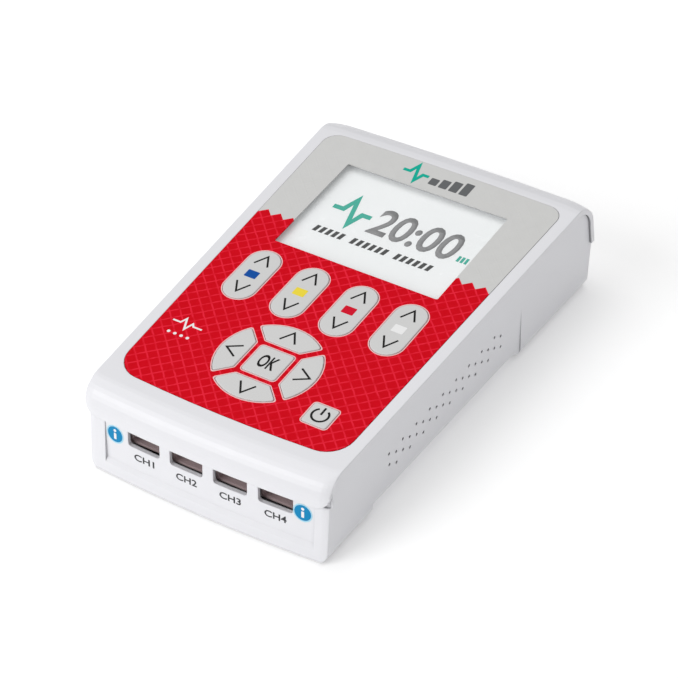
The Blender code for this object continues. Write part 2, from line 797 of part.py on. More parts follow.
def add_key(name, outline, x, y):
    """A key with a softened top edge, and a flange that keeps it under the cover."""
    bm = bmesh.new()
    low = KEY_BOTTOM - KEY_TOP
    extruded(bm, outline(0.0), [low + 0.2, 0.0])
    rim = [edge for edge in bm.edges if all(vert.co.z > -1e-6 for vert in edge.verts)]
    edge_size = KEY_EDGE * MM
    bmesh.ops.bevel(bm, geom=rim, offset=edge_size, segments=2, profile=0.5, affect="EDGES")
    place = DECK @ at(x, y, KEY_TOP)
    key = mesh_object(name, bm, key_grey, place)
    bm = bmesh.new()
    extruded(bm, outline(KEY_FLANGE), [low, low + 0.6])
    combine(key, mesh_object(name + "_flange", bm, frame=place), "UNION")
    smooth(key)


for name, outline, x, y in key_places():
    add_key(name, outline, x, y)


# Boards and what is on them ---------------------------------------------------------

bm = bmesh.new()
box(bm, (-32.0, 32.0), (-51.0, 2.2), (DOME_SHEET_TOP - 0.2, DOME_SHEET_TOP))
dome_sheet = mesh_object("dome_sheet", bm, film_clear, DECK)
dome_places = [(0.0, PAD_Y), (POWER_X, POWER_Y)]
for turn in range(4):
    angle = turn * math.pi / 2
    dome_places.append((10.8 * math.cos(angle), PAD_Y + 10.8 * math.sin(angle)))
for i in range(4):
    for end in (-1, 1):
        dome_places.append(((i - 1.5) * ROCKER_PITCH, ROCKER_Y + end * 6.5))
bm = bmesh.new()
for x, y in dome_places:
    rod(bm, (x, y, DOME_SHEET_TOP - 0.1), (x, y, DOME_TOP), 2.4, 10, 1.3)
combine(dome_sheet, mesh_object("domes", bm, frame=DECK), "UNION")

bm = bmesh.new()
box(bm, (-33.0, 33.0), (-51.5, 2.5), (KEYPAD_BOARD_TOP - 1.0, KEYPAD_BOARD_TOP))
mesh_object("keypad_board", bm, board_green, DECK)

bm = bmesh.new()
board_bottom = MAIN_BOARD_TOP - BOARD
box(bm, (-BOARD_HALF_WIDTH, BOARD_HALF_WIDTH), (-47.0, 59.0), (board_bottom, MAIN_BOARD_TOP))
mesh_object("main_board", bm, board_green, DECK)

bm = bmesh.new()
box(bm, (-7.0, 7.0), (-26.0, -12.0), (MAIN_BOARD_TOP + 0.2, MAIN_BOARD_TOP + 1.6))
mesh_object("processor_chip", bm, black_plastic, DECK)

bm = bmesh.new()
fold_y = 3.2
ribbon = [(4.1, -3.4), (fold_y - 0.1, -3.4), (fold_y - 0.1, MAIN_BOARD_TOP + 0.3)]
ribbon += [(fold_y + 0.1, MAIN_BOARD_TOP + 0.3), (fold_y + 0.1, -3.6), (4.1, -3.6)]
extruded(bm, ribbon, [-9.0, 9.0], "X")
mesh_object("display_ribbon", bm, flex_amber, DECK)

bm = bmesh.new()
rod(bm, (0, 52.0, board_bottom - 5.2), (0, 52.0, board_bottom - 0.3), 6.0, 16)
mesh_object("buzzer", bm, black_plastic, DECK)

for i, x in enumerate([-7.5, 7.5]):
    bm = bmesh.new()
    box(bm, (x - 5.5, x + 5.5), (31.5, 42.5), (board_bottom - 8.3, board_bottom - 0.3))
    mesh_object(f"step_up_transformer_{i + 1}", bm, winding_brown, DECK)

for i, x in enumerate([-20.5, 20.5]):
    bm = bmesh.new()
    rod(bm, (x, 30.5, board_bottom - 4.4), (x, 43.5, board_bottom - 4.4), 4.0, 12)
    mesh_object(f"storage_capacitor_{i + 1}", bm, black_plastic, DECK)


# Output sockets ---------------------------------------------------------------------

bm = bmesh.new()
box(bm, (-26.8, 26.8), (SOCKET_BACK_Y + 0.3, SOCKET_BACK_Y + 1.5), (8.0, 21.0))
mesh_object("output_board", bm, board_green)

for i in range(4):
    x = socket_x(i)
    half = SOCKET_HALF_WIDTH + SOCKET_WALL
    low = SOCKET_FLOOR_Z - SOCKET_WALL
    high = SOCKET_ROOF_Z + SOCKET_WALL
    wall_end = FRONT_WALL + FIT
    outer_x = abs(x) + half
    profile = [(front_wall_y(outer_x, low) + wall_end, low), (SOCKET_BACK_Y, low)]
    profile += [(SOCKET_BACK_Y, high), (front_wall_y(outer_x, LEAN_TOP_Z) + wall_end, high)]
    bm = bmesh.new()
    extruded(bm, profile, [x - half, x + half], "X")
    socket = mesh_object(f"output_socket_{i + 1}", bm, socket_brown)
    bm = bmesh.new()
    half = SOCKET_HALF_WIDTH
    hole = rectangle(x - half, x + half, SOCKET_FLOOR_Z, SOCKET_ROOF_Z, 0.8, 2)
    extruded(bm, hole, [-70.0, SOCKET_HOLE_END_Y], "Y")
    combine(socket, mesh_object(f"socket_hole_{i + 1}", bm))
    for letter, side in (("a", -1), ("b", 1)):
        bm = bmesh.new()
        pin_x = x + side * PIN_SPACING / 2
        pin_z = (SOCKET_FLOOR_Z + SOCKET_ROOF_Z) / 2
        pin_y = SOCKET_HOLE_END_Y - 0.3
        rod(bm, (pin_x, pin_y - PIN_LENGTH, pin_z), (pin_x, pin_y, pin_z), PIN_RADIUS, 8)
        mesh_object(f"output_pin_{i + 1}{letter}", bm, plated_metal)


# Charging jack ----------------------------------------------------------------------

bm = bmesh.new()
jack_half = 4.6
box(
    bm,
    (JACK_X - jack_half, JACK_X + jack_half),
    (JACK_BACK_Y, JACK_FACE_Y),
    (JACK_Z - jack_half, JACK_Z + jack_half),
)
jack = mesh_object("charger_jack", bm, black_plastic)
bm = bmesh.new()
rod(bm, (JACK_X, JACK_BACK_Y + 2.0, JACK_Z), (JACK_X, JACK_FACE_Y + 2.0, JACK_Z), 3.0, 16)
combine(jack, mesh_object("jack_bore", bm))
bm = bmesh.new()
rod(bm, (JACK_X, JACK_BACK_Y + 2.3, JACK_Z), (JACK_X, JACK_FACE_Y - 2.0, JACK_Z), 0.9, 10)
mesh_object("charger_pin", bm, plated_metal)


# Power cells and their contacts -----------------------------------------------------


def cell_x(i):
    return (i - 1.5) * CELL_PITCH


for i in range(4):
    bm = bmesh.new()
    rod(bm, (cell_x(i), CELL_FRONT_Y, CELL_Z), (cell_x(i), CELL_REAR_Y, CELL_Z), CELL_RADIUS, 16)
    mesh_object(f"battery_cell_{i + 1}", bm, cell_jacket)

CONTACTS = [
    ("battery_contact_1", BAY_FRONT_Y, [0, 1]),
    ("battery_contact_2", BAY_FRONT_Y, [2, 3]),
    ("battery_contact_3", BAY_REAR_Y, [0]),
    ("battery_contact_4", BAY_REAR_Y, [1, 2]),
    ("battery_contact_5", BAY_REAR_Y, [3]),
]
for name, wall_y, cells in CONTACTS:
    inward = 1 if wall_y < 0 else -1
    plate_y = sorted([wall_y + inward * 0.3, wall_y + inward * 0.8])
    bm = bmesh.new()
    plate_x = (cell_x(cells[0]) - 3.6, cell_x(cells[-1]) + 3.6)
    box(bm, plate_x, plate_y, (CELL_Z - 3.8, CELL_Z + 3.8))
    contact = mesh_object(name, bm, plated_metal)
    bm = bmesh.new()
    for i in cells:
        root = (cell_x(i), wall_y + inward * 0.5, CELL_Z)
        tip = (cell_x(i), wall_y + inward * 2.0, CELL_Z)
        rod(bm, root, tip, 2.4, 10, 1.2)
    combine(contact, mesh_object(name + "_springs", bm), "UNION")


# Case screws ------------------------------------------------------------------------

SCREW_HALF_PROFILE = [(0.0, 20.5), (1.2, 20.5), (1.2, SCREW_SEAT_Z), (2.4, SCREW_SEAT_Z)]
SCREW_HALF_PROFILE += [(2.4, SCREW_SEAT_Z - 1.6), (0.0, SCREW_SEAT_Z - 1.6)]

for i, (x, y) in enumerate(POSTS):
    bm = bmesh.new()
    verts = [bm.verts.new(along("Y", u, v, 0.0)) for u, v in SCREW_HALF_PROFILE]
    for pair in zip(verts, verts[1:]):
        bm.edges.new(pair)
    fastener = mesh_object(f"case_screw_{i + 1}", bm, plated_metal, at(x, y, 0))
    turning = fastener.modifiers.new("turning", "SCREW")
    turning.steps = 12
    turning.render_steps = 12
    turning.use_merge_vertices = True
    turning.merge_threshold = 0.00001
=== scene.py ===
"""Looks of the hand-held four channel electrotherapy unit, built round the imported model.

Lengths on the unit are in millimetres, and MM turns them into Blender's metres.
Deck places are (x, y) on the sloped top of the unit, and heights there go along its normal.
"""

import json
import math

import bmesh
import bpy
from mathutils import Matrix, Vector


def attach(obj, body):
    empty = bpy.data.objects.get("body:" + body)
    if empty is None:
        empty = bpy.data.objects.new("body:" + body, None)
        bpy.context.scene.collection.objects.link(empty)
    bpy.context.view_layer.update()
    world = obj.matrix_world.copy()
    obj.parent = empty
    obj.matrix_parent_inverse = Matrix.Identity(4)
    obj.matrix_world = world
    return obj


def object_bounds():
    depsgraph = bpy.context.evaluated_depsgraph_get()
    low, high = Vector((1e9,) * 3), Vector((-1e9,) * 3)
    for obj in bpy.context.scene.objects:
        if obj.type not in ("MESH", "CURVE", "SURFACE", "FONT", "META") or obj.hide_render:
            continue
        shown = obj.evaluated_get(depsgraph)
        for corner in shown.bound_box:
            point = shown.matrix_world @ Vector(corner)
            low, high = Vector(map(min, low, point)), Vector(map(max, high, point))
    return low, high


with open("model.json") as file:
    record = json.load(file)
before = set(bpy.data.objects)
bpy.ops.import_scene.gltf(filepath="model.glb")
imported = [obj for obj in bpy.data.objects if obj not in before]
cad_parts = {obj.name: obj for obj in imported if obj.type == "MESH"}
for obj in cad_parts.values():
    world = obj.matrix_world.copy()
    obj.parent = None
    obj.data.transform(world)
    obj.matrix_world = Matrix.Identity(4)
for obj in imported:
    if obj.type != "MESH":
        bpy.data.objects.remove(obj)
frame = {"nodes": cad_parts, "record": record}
cad_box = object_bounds()

MM = 0.001

# Deck and keys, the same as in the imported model.
DECK_Z = 29.03
DECK_SLOPE = 0.0358
OVERLAY_TOP = 0.05
LCD_TOP = -2.0
WINDOW_Y = 26.9
ROCKER_Y = -7.5
ROCKER_PITCH = 15.44
ROCKER_HALF_LENGTH = 10.5
ROCKER_HALF_WIDTH = 4.75
PAD_Y = -34.85
PAD_RADIUS = 14.55
PAD_INNER = 7.15
PAD_SPOKE = 1.3
ENTER_HALF = 5.15
POWER_PLACE = (22.5, -44.95)
POWER_HALF = 3.73
KEY_CORNER = 0.8
KEY_TOP = 0.3
SOCKET_MIDDLE_X = 1.25
SOCKET_PITCH = 13.55

# Print: its thickness, and that of print on the display and on the connector panel.
PRINT = 0.03
SCREEN_PRINT = 0.05
PANEL_PRINT = 0.04

# Pale rims round the keys: their gap to the key, and how far out they reach.
RIM_GAP = 0.13
RIM_REACH = 0.42
RIM_FOOT = -0.3

# Signs on the keys.
SIGN_STROKE = 0.55
ROCKER_UP_Y = 6.2
ROCKER_DOWN_Y = 5.85
ROCKER_CHEVRON = [(-2.15, -1.95), (0.0, 1.95), (2.15, -1.95)]
PAD_CHEVRON = [(-2.35, 9.1), (0.0, 12.9), (2.35, 9.1)]
COLOUR_BAR_HALF = (1.8, 1.45)
OK_SIZE = (5.3, 4.9)
POWER_RING = 2.3
POWER_STROKE = 0.6
POWER_RING_START = 125
POWER_RING_SWEEP = 290
POWER_RING_STEPS = 26

# Signs on the deck and on the display.
PULSE = [(0, 0), (1.9, 0), (2.9, 3.0), (4.5, -3.0), (5.5, 0), (7.2, 0)]
SMALL_PULSE = [(-4.6, 0), (-2.2, 0), (-1.4, 1.9), (0.2, -1.9), (1.2, 0.9), (1.9, 0), (4.6, 0)]
DECK_SIGN_Y = 51.6
CHANNEL_SIGN_PLACE = (-27.0, -32.6)
CHANNEL_DOT_Y = -37.0
READOUT_PLACE = (6.0, 3.4)
READOUT_SIZE = (27.0, 11.6)
READOUT_SLANT = 0.06
TICK = [(-0.75, -1.3), (0.45, -1.3), (0.95, 1.3), (-0.25, 1.3)]
TICK_Y = -7.2

# Connector panel: where its face starts, how it leans and bows, and what is printed on it.
PANEL_FOOT_Y = -66.661
PANEL_FOOT_Z = 5.3
PANEL_LEAN = 0.0883
PANEL_BOW = 0.001
LABEL_Z = 9.4
LABEL_SIZE = (6.5, 2.1)
DISC_PLACES = [(-28.5, 13.8), (29.5, 13.8)]
DISC_RADIUS = 2.4
DISC_RIM_RADII = (2.45, 2.8)
DISC_SIDES = 36

# Zigzag edge between the grey and the red print, and the lattice on the red.
ZIGZAG_PEAK_X = 26.5
ZIGZAG_TEETH = 8
ZIGZAG_PITCH = 4.07
ZIGZAG_VALLEY_Y = 16.15
ZIGZAG_HEIGHT = 2.0
LATTICE_PITCH = 4.05

# Floor, light and camera. The floor, the aim and the camera's place are in metres.
FLOOR_HALF = 4.0
FLOOR_DROP = 0.0002
FLOOR_GLOW = 0.24
WORLD_STRENGTH = 0.32
AIM = (0, 0, 0.02)
CAMERA_PLACE = (0.28367, -0.42440, 0.44347)
CAMERA_RIGHT = (0.84584, 0.53234, -0.03406)
CAMERA_UP = (-0.32281, 0.56164, 0.76180)
CAMERA_BACK = (0.42467, -0.63337, 0.64691)
CAMERA_LENS = 130.4

DECK = Matrix.Translation((0, 0, DECK_Z * MM)) @ Matrix.Rotation(math.atan(DECK_SLOPE), 4, "X")


# Materials --------------------------------------------------------------------------


class Graph:
    """A material's node tree, with short ways to add to it."""

    def __init__(self, name, roughness=0.4, metallic=0.0, **sockets):
        self.material = bpy.data.materials.new(name)
        self.material.use_nodes = True
        self.tree = self.material.node_tree
        self.shader = self.tree.nodes["Principled BSDF"]
        self.shader.inputs["Roughness"].default_value = roughness
        self.shader.inputs["Metallic"].default_value = metallic
        for socket, value in sockets.items():
            self.shader.inputs[socket.replace("_", " ")].default_value = value
        self.place = self.add("ShaderNodeTexCoord").outputs["Object"]

    def add(self, kind, values=(), **settings):
        made = self.tree.nodes.new(kind)
        for setting, value in settings.items():
            setattr(made, setting, value)
        for socket, value in dict(values).items():
            self.feed(made.inputs[socket], value)
        return made

    def feed(self, socket, value):
        """Links an output to the socket, or sets its value."""
        if isinstance(value, bpy.types.NodeSocket):
            self.tree.links.new(value, socket)
        else:
            socket.default_value = value

    def math(self, operation, a, b=0.0):
        return self.add("ShaderNodeMath", {0: a, 1: b}, operation=operation).outputs[0]

    def noise(self, size, detail=2.0, rough=0.5):
        """Noise with features of about that many millimetres."""
        values = {"Vector": self.place, "Scale": 1 / (size * MM)}
        values.update({"Detail": detail, "Roughness": rough})
        return self.add("ShaderNodeTexNoise", values).outputs["Fac"]

    def ranged(self, value, low, high, to_low=0.0, to_high=1.0):
        """The value with low to high stretched over to_low to to_high, and clamped."""
        values = {"Value": value, "From Min": low, "From Max": high}
        values.update({"To Min": to_low, "To Max": to_high})
        return self.add("ShaderNodeMapRange", values).outputs["Result"]

    def mixed(self, factor, a, b):
        """One colour turning into another as the factor goes from 0 to 1."""
        made = self.add("ShaderNodeMix", {"Factor": factor}, data_type="RGBA")
        for socket, value in zip(made.inputs[6:8], (a, b)):
            self.feed(socket, (*value, 1.0) if isinstance(value, tuple) else value)
        return made.outputs[2]

    def axes(self):
        """The place on the object along each axis, in millimetres."""
        split = self.add("ShaderNodeSeparateXYZ", {0: self.place})
        return [self.math("DIVIDE", out, MM) for out in split.outputs]

    def link(self, value, socket):
        self.tree.links.new(value, self.shader.inputs[socket])

    def gloss(self, size, detail, low, high):
        """Roughness that wanders between two values."""
        self.link(self.ranged(self.noise(size, detail), 0.3, 0.7, low, high), "Roughness")

    def bump(self, height, depth, soft_edge=0.0):
        """Bump of that depth in millimetres, over edges softened by that radius."""
        values = {"Height": height, "Strength": 1.0, "Distance": depth * MM}
        if soft_edge:
            edge = self.add("ShaderNodeBevel", {"Radius": soft_edge * MM}, samples=4)
            values["Normal"] = edge.outputs["Normal"]
        self.link(self.add("ShaderNodeBump", values).outputs["Normal"], "Normal")


def shade(color, factor):
    return tuple(min(1.0, channel * factor) for channel in color)


def moulded(name, color, vary, rough, rough_vary, grain, depth, edge=0.0, seam=0.0, **more):
    """Plastic, rubber or metal with uneven colour, uneven gloss and a fine grain.

    Corners are softened over the radius edge. Painted shade from ambient occlusion darkens the
    colour near joints, creases and overhangs, out to the given reach in millimetres.
    """
    graph = Graph(name, **more)
    cloudy = graph.noise(18.0, 3.0)
    fine = graph.noise(grain, 2.0, 0.6)
    wide = graph.mixed(cloudy, shade(color, 1 - vary), shade(color, 1 + vary))
    speck = graph.ranged(fine, 0.3, 0.7, 0.0, 1.0)
    tint = graph.mixed(speck, wide, shade(color, 1 + vary / 2))
    # Painted shade: the colour darkens where ambient occlusion finds surfaces close by.
    if seam:
        values = {"Distance": seam * MM}
        occlusion = graph.add("ShaderNodeAmbientOcclusion", values, samples=4).outputs["AO"]
        tint = graph.mixed(graph.ranged(occlusion, 0.3, 0.9), shade(color, 0.62), tint)
    graph.link(tint, "Base Color")
    graph.gloss(6.0, 4.0, rough - rough_vary, rough + rough_vary)
    graph.bump(fine, depth, edge)
    return graph


def striped(name, color, second, axis, pitch, share, rough, wave=0.0):
    """Two colours in raised stripes across one axis."""
    graph = Graph(name)
    level = graph.axes()[axis]
    if wave:
        level = graph.math("ADD", level, graph.math("MULTIPLY", graph.noise(4.0), wave))
    saw = graph.math("PINGPONG", level, pitch / 2)
    stripe = graph.ranged(saw, pitch / 2 * share, pitch / 2 * share + pitch * 0.05)
    cloudy = graph.noise(9.0, 3.0)
    first = graph.mixed(cloudy, shade(color, 0.9), shade(color, 1.1))
    graph.link(graph.mixed(stripe, first, second), "Base Color")
    graph.gloss(2.0, 3.0, rough - 0.06, rough + 0.06)
    graph.bump(stripe, 0.02)
    return graph


def overlay_print():
    """Grey film that turns red below a zigzag edge, with a fine lattice on the red."""
    graph = Graph("overlay_print", Specular_IOR_Level=0.05)
    x, y, _ = graph.axes()
    start = ZIGZAG_PEAK_X - ZIGZAG_TEETH * ZIGZAG_PITCH
    across = graph.math("SUBTRACT", graph.math("ABSOLUTE", x), start)
    tooth = graph.math("PINGPONG", across, ZIGZAG_PITCH / 2)
    edge = graph.ranged(tooth, 0.0, ZIGZAG_PITCH / 2, ZIGZAG_HEIGHT, 0.0)
    above = graph.math("SUBTRACT", graph.math("SUBTRACT", y, ZIGZAG_VALLEY_Y), edge)
    is_grey = graph.ranged(above, -0.05, 0.05)
    wobble = graph.math("MULTIPLY", graph.math("SUBTRACT", graph.noise(1.6, 1.0), 0.5), 0.55)
    lines = None
    for step in ("ADD", "SUBTRACT"):
        level = graph.math("ADD", graph.math(step, x, y), wobble)
        gap = graph.math("PINGPONG", level, LATTICE_PITCH / 2)
        line = graph.ranged(gap, 0.16, 0.42, 1.0, 0.0)
        lines = graph.math("MAXIMUM", lines, line) if lines else line
    broken = graph.ranged(graph.noise(2.6, 2.0), 0.32, 0.55, 0.35, 1.0)
    lines = graph.math("MULTIPLY", lines, broken)
    blotch = graph.noise(3.0, 3.0, 0.6)
    red = graph.mixed(blotch, (0.60, 0.0, 0.006), (0.70, 0.0, 0.012))
    red = graph.mixed(lines, red, (0.84, 0.018, 0.045))
    grey = graph.mixed(blotch, (0.62, 0.62, 0.61), (0.665, 0.665, 0.655))
    graph.link(graph.mixed(is_grey, red, grey), "Base Color")
    graph.gloss(0.8, 3.0, 0.42, 0.54)
    graph.bump(graph.math("ADD", graph.noise(0.35, 2.0), lines), 0.012)
    return graph


def screen():
    """A pale display with a faint pixel grid, brightened by a faint glow of painted light."""
    graph = Graph("screen_glass", Emission_Strength=0.2)
    x, y, _ = graph.axes()
    cells = [graph.ranged(graph.math("PINGPONG", level, 0.15), 0.0, 0.03) for level in (x, y)]
    grid = graph.math("MULTIPLY", cells[0], cells[1])
    cloudy = graph.mixed(graph.noise(20.0), (0.78, 0.80, 0.80), (0.84, 0.85, 0.86))
    tint = graph.mixed(grid, (0.72, 0.74, 0.74), cloudy)
    graph.link(tint, "Base Color")
    # Painted light: the display glows in its own colour, which brightens it in its recess.
    graph.link(tint, "Emission Color")
    graph.gloss(5.0, 2.0, 0.2, 0.28)
    graph.bump(grid, 0.002)
    return graph


def board():
    """Solder mask over tracks that run both ways."""
    graph = Graph("board_green")
    x, y, _ = graph.axes()
    tracks = None
    for level, size in ((x, 7.0), (y, 5.0)):
        line = graph.ranged(graph.math("PINGPONG", level, 0.7), 0.22, 0.3, 1.0, 0.0)
        zone = graph.ranged(graph.noise(size, 0.0), 0.5, 0.52)
        line = graph.math("MULTIPLY", line, zone)
        tracks = graph.math("MAXIMUM", tracks, line) if tracks else line
    base = graph.mixed(graph.noise(9.0), (0.012, 0.14, 0.05), (0.02, 0.19, 0.07))
    graph.link(graph.mixed(tracks, base, (0.04, 0.3, 0.11)), "Base Color")
    graph.gloss(3.0, 2.0, 0.3, 0.42)
    graph.bump(tracks, 0.03)
    return graph


def printed(name, color, rough=0.45):
    """Ink, with a slightly uneven coat."""
    return moulded(name, color, 0.06, rough, 0.06, 0.3, 0.004, Specular_IOR_Level=0.12).material


# Colour, its variation, roughness, its variation, grain size and grain depth.
MOULDED = {
    "white_shell": ((0.80, 0.80, 0.83), 0.012, 0.33, 0.04, 0.28, 0.0035),
    "key_grey": ((0.655, 0.655, 0.65), 0.025, 0.42, 0.05, 0.3, 0.006),
    "clear_lens": ((0.9, 0.92, 0.92), 0.01, 0.06, 0.02, 4.0, 0.002),
    "light_guide": ((0.85, 0.85, 0.82), 0.03, 0.35, 0.05, 0.6, 0.01),
    "film_clear": ((0.62, 0.58, 0.46), 0.05, 0.3, 0.06, 1.2, 0.01),
    "black_plastic": ((0.02, 0.02, 0.021), 0.12, 0.48, 0.07, 0.4, 0.012),
    "socket_brown": ((0.46, 0.355, 0.36), 0.1, 0.45, 0.07, 0.5, 0.01),
    "plated_metal": ((0.72, 0.71, 0.68), 0.05, 0.26, 0.07, 0.5, 0.006),
    "cell_jacket": ((0.03, 0.24, 0.09), 0.06, 0.28, 0.05, 0.8, 0.006),
}
EXTRAS = {
    # Painted shade darkens the white shell within 1.5 mm of joints, creases and overhangs.
    "white_shell": {"edge": 0.22, "seam": 1.5},
    "key_grey": {"edge": 0.12},
    "clear_lens": {"Alpha": 0.05},
    "black_plastic": {"edge": 0.1},
    "plated_metal": {"metallic": 1.0},
}
FLEX = ((0.42, 0.2, 0.04), (0.7, 0.4, 0.1))
WINDING = ((0.3, 0.12, 0.04), (0.16, 0.06, 0.02))

FINISHES = {name: moulded(name, *row, **EXTRAS.get(name, {})) for name, row in MOULDED.items()}
FINISHES["overlay_print"] = overlay_print()
FINISHES["screen_glass"] = screen()
FINISHES["board_green"] = board()
FINISHES["flex_amber"] = striped("flex_amber", *FLEX, 0, 0.8, 0.5, 0.35)
FINISHES["winding_brown"] = striped("winding_brown", *WINDING, 2, 0.5, 0.6, 0.4, wave=0.1)
FINISHES = {name: graph.material for name, graph in FINISHES.items()}

BLACK_INK = printed("black_ink", (0.01, 0.01, 0.01))
GREY_INK = printed("grey_ink", (0.13, 0.135, 0.14))
SCREEN_GREY = printed("screen_grey", (0.25, 0.25, 0.255))
LABEL_INK = printed("label_ink", (0.055, 0.055, 0.06))
TEAL_INK = printed("teal_ink", (0.0, 0.42, 0.31))
WHITE_INK = printed("white_ink", (0.86, 0.86, 0.86))
BLUE_INK = printed("blue_ink", (0.0, 0.075, 0.36))
YELLOW_INK = printed("yellow_ink", (0.87, 0.70, 0.055))
RED_INK = printed("red_ink", (0.66, 0.0, 0.02))
PALE_EDGE = printed("pale_edge", (0.90, 0.55, 0.56))
DISC_BLUE = printed("disc_blue", (0.002, 0.24, 0.50), 0.35)
DISC_RIM = printed("disc_rim", (0.40, 0.72, 0.86), 0.35)


# Outlines: lists of (x, y), anticlockwise -------------------------------------------


def fillet(corners, radii, steps=5):
    """Rounds each corner of a polygon with an arc of its own radius."""
    made = []
    for i, corner in enumerate(corners):
        here = Vector(corner)
        if radii[i] <= 0:
            made.append((here.x, here.y))
            continue
        back = (Vector(corners[i - 1]) - here).normalized()
        ahead = (Vector(corners[(i + 1) % len(corners)]) - here).normalized()
        half = back.angle(ahead) / 2
        middle = here + (back + ahead).normalized() * (radii[i] / math.sin(half))
        spoke = here + back * (radii[i] / math.tan(half)) - middle
        turn = 1 if back.x * ahead.y - back.y * ahead.x < 0 else -1
        for k in range(steps + 1):
            point = middle + Matrix.Rotation(turn * (math.pi - 2 * half) * k / steps, 2) @ spoke
            made.append((point.x, point.y))
    return made


def rectangle(x0, x1, y0, y1, radius=0.0, steps=4):
    return fillet([(x0, y0), (x1, y0), (x1, y1), (x0, y1)], [radius] * 4, steps)


def moved(outline, x, y):
    return [(px + x, py + y) for px, py in outline]


def turned(outline, angle):
    points = [Matrix.Rotation(angle, 2) @ Vector(point) for point in outline]
    return [(point.x, point.y) for point in points]


def circle(radius, x=0.0, y=0.0, sides=DISC_SIDES):
    angles = [2 * math.pi * k / sides for k in range(sides)]
    return [(x + radius * math.cos(a), y + radius * math.sin(a)) for a in angles]


def rocker_outline(grow=0.0):
    wide = ROCKER_HALF_WIDTH + grow
    high = ROCKER_HALF_LENGTH + grow
    return rectangle(-wide, wide, -high, high, wide - 0.01, 9)


def square_outline(half, grow=0.0):
    return rectangle(-half - grow, half + grow, -half - grow, half + grow, KEY_CORNER + grow)


def arrow_outline(grow=0.0):
    """One quarter of the round pad, the one towards the display."""
    low = PAD_INNER - grow
    radius = PAD_RADIUS + grow
    slant = (PAD_SPOKE - grow) * math.sqrt(2)
    far = (-slant + math.sqrt(2 * radius * radius - slant * slant)) / 2
    first = math.atan2(far + slant, far)
    corners = [(slant - low, low), (low - slant, low)]
    for k in range(13):
        angle = first + (math.pi - 2 * first) * k / 12
        corners.append((radius * math.cos(angle), radius * math.sin(angle)))
    return fillet(corners, [0.9, 0.9, 0.7] + [0.0] * 11 + [0.7], 4)


def stroke(points, width):
    """The outline of a mitred line through the points."""
    spots = [Vector(point) for point in points]
    runs = [(b - a).normalized() for a, b in zip(spots, spots[1:])]
    left = []
    right = []
    for i, spot in enumerate(spots):
        before = runs[max(i - 1, 0)]
        after = runs[min(i, len(runs) - 1)]
        middle = (before + after).normalized()
        side = Vector((-middle.y, middle.x)) * (width / 2 / max(0.35, middle.dot(after)))
        left.append(spot + side)
        right.append(spot - side)
    return [(point.x, point.y) for point in right + left[::-1]]


# Pieces -----------------------------------------------------------------------------


def plates(bm, outlines, low, high):
    """Flat plates between two heights, one for each outline."""
    for outline in outlines:
        face = bm.faces.new([bm.verts.new((x * MM, y * MM, low * MM)) for x, y in outline])
        grown = bmesh.ops.extrude_face_region(bm, geom=[face])["geom"]
        fresh = [item for item in grown if isinstance(item, bmesh.types.BMVert)]
        bmesh.ops.translate(bm, verts=fresh, vec=(0, 0, (high - low) * MM))


def band(bm, inner, outer, low, high):
    """A flat frame between two outlines that have the same number of corners."""
    rows = []
    for outline, z in ((inner, low), (outer, low), (outer, high), (inner, high)):
        rows.append([bm.verts.new((x * MM, y * MM, z * MM)) for x, y in outline])
    count = len(inner)
    for row, following in zip(rows, rows[1:] + rows[:1]):
        for k in range(count):
            after = (k + 1) % count
            bm.faces.new([row[k], row[after], following[after], following[k]])


def piece(name, bm, finish, body, place):
    """A new object from mesh code, which rides on a body."""
    bmesh.ops.recalc_face_normals(bm, faces=bm.faces[:])
    bmesh.ops.transform(bm, matrix=place, verts=bm.verts[:])
    mesh = bpy.data.meshes.new(name)
    bm.to_mesh(mesh)
    bm.free()
    made = bpy.data.objects.new(name, mesh)
    bpy.context.scene.collection.objects.link(made)
    mesh.materials.append(finish)
    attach(made, body)
    return made


def mark(name, outlines, finish, body, place=DECK, low=0.0, thick=PRINT):
    bm = bmesh.new()
    plates(bm, outlines, low, low + thick)
    return piece(name, bm, finish, body, place)


def lettering(name, text, size, finish, body, slot, place, weight, slant=0.0, thick=PRINT):
    """Plain characters with their middle at the place, scaled to a width and a height."""
    curve = bpy.data.curves.new(name, "FONT")
    curve.body = text
    curve.shear = slant
    curve.offset = weight
    curve.resolution_u = 4
    source = bpy.data.objects.new(name + "_source", curve)
    bpy.context.scene.collection.objects.link(source)
    bpy.context.view_layer.update()
    graph = bpy.context.evaluated_depsgraph_get()
    flat = bpy.data.meshes.new_from_object(source.evaluated_get(graph), depsgraph=graph)
    bpy.data.objects.remove(source)
    bpy.data.curves.remove(curve)
    bm = bmesh.new()
    bm.from_mesh(flat)
    bpy.data.meshes.remove(flat)
    bmesh.ops.remove_doubles(bm, verts=bm.verts[:], dist=1e-5)
    low_x = min(vert.co.x for vert in bm.verts)
    high_x = max(vert.co.x for vert in bm.verts)
    low_y = min(vert.co.y for vert in bm.verts)
    high_y = max(vert.co.y for vert in bm.verts)
    wide = size[0] / (high_x - low_x)
    tall = size[1] / (high_y - low_y)
    for vert in bm.verts:
        vert.co.x = (vert.co.x - (low_x + high_x) / 2) * wide * MM
        vert.co.y = (vert.co.y - (low_y + high_y) / 2) * tall * MM
        vert.co.z = 0.0
    grown = bmesh.ops.extrude_face_region(bm, geom=bm.faces[:])["geom"]
    fresh = [item for item in grown if isinstance(item, bmesh.types.BMVert)]
    bmesh.ops.translate(bm, verts=fresh, vec=(0, 0, thick * MM))
    return piece(name, bm, finish, body, place)


def on_deck(x, y, z=0.0):
    return DECK @ Matrix.Translation((x * MM, y * MM, z * MM))


# Carried-over nodes -----------------------------------------------------------------

SLOTS = {row["node"]: row["material_slot"] for row in frame["record"]["subparts"]}

for node, made in frame["nodes"].items():
    made.data.materials.clear()
    made.data.materials.append(FINISHES[SLOTS[node]])


# Print on the deck ------------------------------------------------------------------

# The body that all but the keys and the battery door ride on.
HOUSING = "housing"

